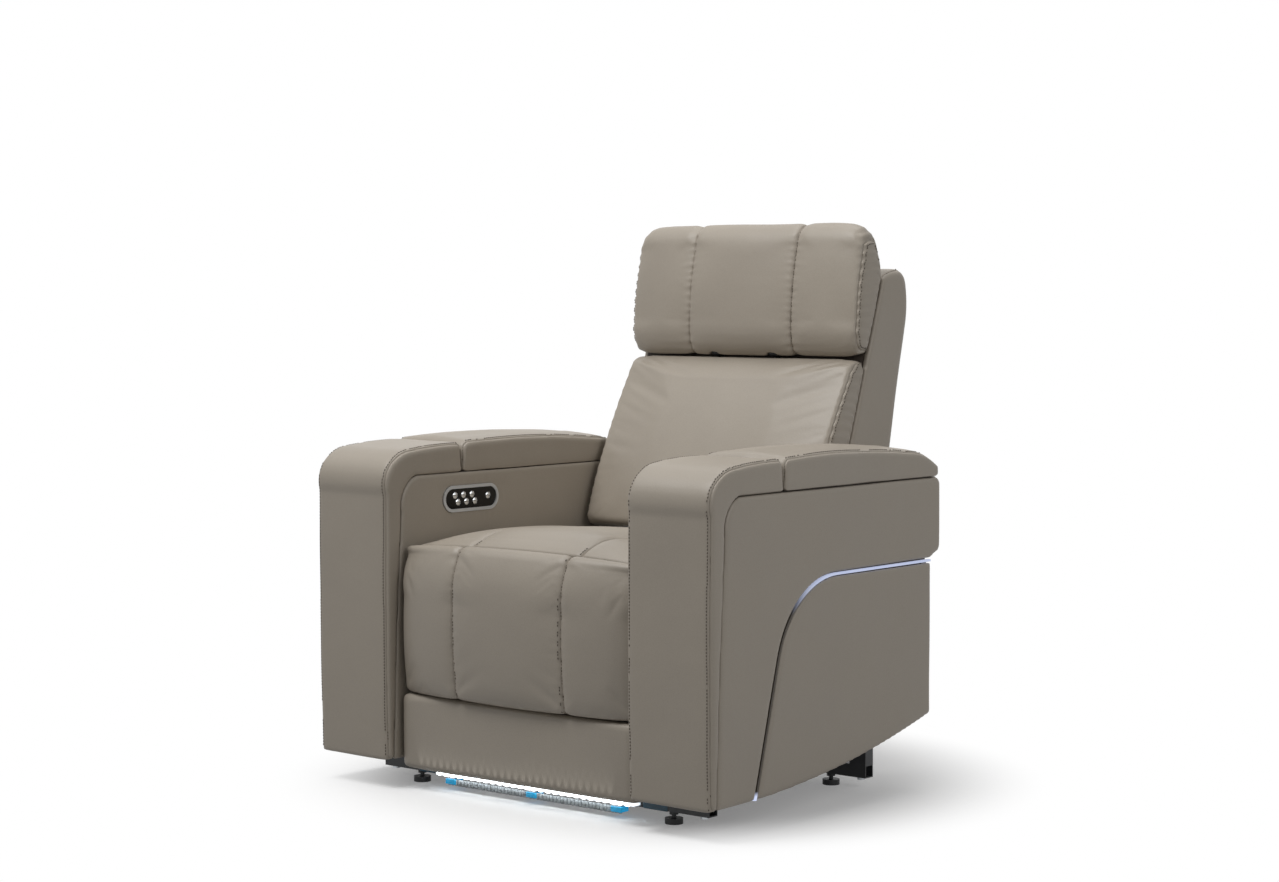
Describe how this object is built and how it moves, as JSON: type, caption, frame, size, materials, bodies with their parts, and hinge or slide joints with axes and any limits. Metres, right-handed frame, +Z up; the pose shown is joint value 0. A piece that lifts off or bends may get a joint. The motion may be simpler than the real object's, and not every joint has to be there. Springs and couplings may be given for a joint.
{
  "type": "cinema recliner seat",
  "caption": "Powered cinema recliner with padded storage arms, unfolding footrest, tilting headrest, lit base bar and a round-ended control on the right arm.",
  "frame": {"origin": "on the floor under the middle of the upright seat, at the centre of its bounding box", "axes": "+Z up, the sitter faces -Y, +X is the sitter's left"},
  "size_m": [0.94, 0.8689, 1.05],
  "materials": {
    "leather": "semi-matt grained leather",
    "plywood": "bare",
    "black_steel": "semi-gloss powder coat",
    "zinc_steel": "zinc plated",
    "black_plastic": "moulded",
    "nylon": "moulded",
    "aluminium_channel": "anodised",
    "light_diffuser": "frosted, lit from inside",
    "satin_bezel": "satin",
    "gloss_black": "high gloss",
    "chrome_button": "polished"
  },
  "bodies": {
    "base": {"arm_bolts": "zinc_steel", "arm_brackets": "black_steel", "arm_rear_panels": "leather", "base_cross_tubes": "black_steel", "control_bezel": "satin_bezel", "control_face": "gloss_black", "glide_rails": "black_steel", "left_arm_frame": "plywood", "left_arm_front_band": "leather", "left_arm_inner_panel": "leather", "left_arm_lower_side_panel": "leather", "left_arm_upper_side_panel": "leather", "left_storage_bin": "black_plastic", "levelling_feet": "black_plastic", "lid_hinges": "zinc_steel", "light_bar_channel": "aluminium_channel", "light_bar_diffuser": "light_diffuser", "power_supply": "black_plastic", "right_arm_frame": "plywood", "right_arm_front_band": "leather", "right_arm_inner_panel": "leather", "right_arm_lower_side_panel": "leather", "right_arm_upper_side_panel": "leather", "right_storage_bin": "black_plastic", "side_light_strips": "light_diffuser"},
    "left_lid": {"left_lid_board": "plywood", "left_lid_pad": "leather"},
    "right_lid": {"right_lid_board": "plywood", "right_lid_pad": "leather"},
    "button_headrest_up": {"button_headrest_up": "chrome_button"},
    "button_headrest_down": {"button_headrest_down": "chrome_button"},
    "button_lumbar_out": {"button_lumbar_out": "chrome_button"},
    "button_lumbar_in": {"button_lumbar_in": "chrome_button"},
    "button_recline_open": {"button_recline_open": "chrome_button"},
    "button_recline_close": {"button_recline_close": "chrome_button"},
    "button_home": {"button_home": "chrome_button"},
    "seat_carriage": {"carriage_side_plates": "black_steel", "glide_shoes": "nylon", "seat_cross_rails": "black_steel", "seat_springs": "zinc_steel", "seat_cushion": "leather"},
    "rear_links": {"rear_links": "black_steel"},
    "front_links": {"front_links": "black_steel"},
    "lower_control_bars": {"lower_control_bars": "black_steel"},
    "upper_control_bars": {"upper_control_bars": "black_steel"},
    "footrest": {"footrest_board": "plywood", "footrest_pad": "leather", "kick_pad": "leather"},
    "bridge_flap": {"bridge_flap": "leather"},
    "footrest_motor": {"footrest_motor": "black_plastic"},
    "footrest_motor_rod": {"footrest_motor_rod": "zinc_steel"},
    "recline_motor": {"recline_motor": "black_plastic"},
    "recline_motor_rod": {"recline_motor_rod": "zinc_steel"},
    "back": {"back_panel": "plywood", "back_brackets": "black_steel", "back_shell": "leather", "back_cushion": "leather"},
    "lumbar": {"lumbar_plate": "black_plastic"},
    "headrest": {"headrest_brackets": "black_steel", "headrest_cushion": "leather"}
  },
  "joints": [
    {"name": "left_lid_hinge", "type": "hinge", "parent": "base", "child": "left_lid", "pos_m": [0.378, 0.254, 0.577], "axis": [-1, 0, 0], "range_deg": [0, 85]},
    {"name": "right_lid_hinge", "type": "hinge", "parent": "base", "child": "right_lid", "pos_m": [-0.378, 0.254, 0.577], "axis": [-1, 0, 0], "range_deg": [0, 85]},
    {"name": "press_headrest_up", "type": "slide", "parent": "base", "child": "button_headrest_up", "axis": [-1, 0, 0], "range_m": [0, 0.0015], "stiffness_N_per_m": 400},
    {"name": "press_headrest_down", "type": "slide", "parent": "base", "child": "button_headrest_down", "axis": [-1, 0, 0], "range_m": [0, 0.0015], "stiffness_N_per_m": 400},
    {"name": "press_lumbar_out", "type": "slide", "parent": "base", "child": "button_lumbar_out", "axis": [-1, 0, 0], "range_m": [0, 0.0015], "stiffness_N_per_m": 400},
    {"name": "press_lumbar_in", "type": "slide", "parent": "base", "child": "button_lumbar_in", "axis": [-1, 0, 0], "range_m": [0, 0.0015], "stiffness_N_per_m": 400},
    {"name": "press_recline_open", "type": "slide", "parent": "base", "child": "button_recline_open", "axis": [-1, 0, 0], "range_m": [0, 0.0015], "stiffness_N_per_m": 400},
    {"name": "press_recline_close", "type": "slide", "parent": "base", "child": "button_recline_close", "axis": [-1, 0, 0], "range_m": [0, 0.0015], "stiffness_N_per_m": 400},
    {"name": "press_home", "type": "slide", "parent": "base", "child": "button_home", "axis": [-1, 0, 0], "range_m": [0, 0.0015], "stiffness_N_per_m": 400},
    {"name": "seat_glide", "type": "slide", "parent": "base", "child": "seat_carriage", "axis": [0, -1, 0], "range_m": [0, 0.131]},
    {"name": "back_recline", "type": "hinge", "parent": "seat_carriage", "child": "back", "pos_m": [0, 0.151, 0.415], "axis": [-1, 0, 0], "range_deg": [0, 45]},
    {"name": "footrest_extend", "type": "hinge", "parent": "seat_carriage", "child": "rear_links", "pos_m": [0, -0.269, 0.3], "axis": [-1, 0, 0], "range_deg": [0, 58]},
    {"name": "front_link_pivot", "type": "hinge", "parent": "rear_links", "child": "front_links", "pos_m": [0, -0.3308, 0.10979], "axis": [-1, 0, 0], "range_deg": [-116.3, 0]},
    {"name": "footrest_turn", "type": "hinge", "parent": "front_links", "child": "footrest", "pos_m": [0, -0.33778, 0.30967], "axis": [-1, 0, 0], "range_deg": [0, 148.3]},
    {"name": "flap_hinge", "type": "hinge", "parent": "seat_carriage", "child": "bridge_flap", "pos_m": [0, -0.341, 0.428], "axis": [-1, 0, 0], "range_deg": [0, 63.3]},
    {"name": "lower_bar_pivot", "type": "hinge", "parent": "seat_carriage", "child": "lower_control_bars", "pos_m": [0, -0.228, 0.3], "axis": [-1, 0, 0], "range_deg": [0, 54.88]},
    {"name": "upper_bar_pivot", "type": "hinge", "parent": "rear_links", "child": "upper_control_bars", "pos_m": [0, -0.3551, 0.12369], "axis": [-1, 0, 0], "range_deg": [-118.85, 0]},
    {"name": "footrest_motor_pivot", "type": "hinge", "parent": "seat_carriage", "child": "footrest_motor", "pos_m": [-0.06, -0.038, 0.15], "axis": [-1, 0, 0], "range_deg": [0, 4.28]},
    {"name": "footrest_motor_stroke", "type": "slide", "parent": "footrest_motor", "child": "footrest_motor_rod", "axis": [0, -0.9012, 0.4334], "range_m": [0, 0.02973]},
    {"name": "recline_motor_pivot", "type": "hinge", "parent": "seat_carriage", "child": "recline_motor", "pos_m": [0.06, -0.11, 0.15], "axis": [-1, 0, 0], "range_deg": [-3.1, 0]},
    {"name": "recline_motor_stroke", "type": "slide", "parent": "recline_motor", "child": "recline_motor_rod", "axis": [0, 0.8081, 0.589], "range_m": [-0.04389, 0]},
    {"name": "lumbar_adjust", "type": "slide", "parent": "back", "child": "lumbar", "axis": [0, -0.9474, 0.3201], "range_m": [0, 0.025]},
    {"name": "headrest_tilt", "type": "hinge", "parent": "back", "child": "headrest", "pos_m": [0, 0.274, 0.8], "axis": [1, 0, 0], "range_deg": [0, 40]}
  ],
  "couplings": [
    {"joint": "seat_glide", "follows": "back_recline", "m_per_rad": 0.16552},
    {"joint": "front_link_pivot", "follows": "footrest_extend", "ratio": -2},
    {"joint": "footrest_turn", "follows": "footrest_extend", "ratio": 2.5517},
    {"joint": "flap_hinge", "follows": "footrest_extend", "ratio": 1.0862},
    {"joint": "lower_bar_pivot", "follows": "footrest_extend", "ratio": 0.941},
    {"joint": "upper_bar_pivot", "follows": "footrest_extend", "ratio": -2.044},
    {"joint": "footrest_motor_pivot", "follows": "footrest_extend", "ratio": 0.068593},
    {"joint": "footrest_motor_stroke", "follows": "footrest_extend", "m_per_rad": 0.028383},
    {"joint": "recline_motor_pivot", "follows": "back_recline", "ratio": -0.06232},
    {"joint": "recline_motor_stroke", "follows": "back_recline", "m_per_rad": -0.054612}
  ]
}
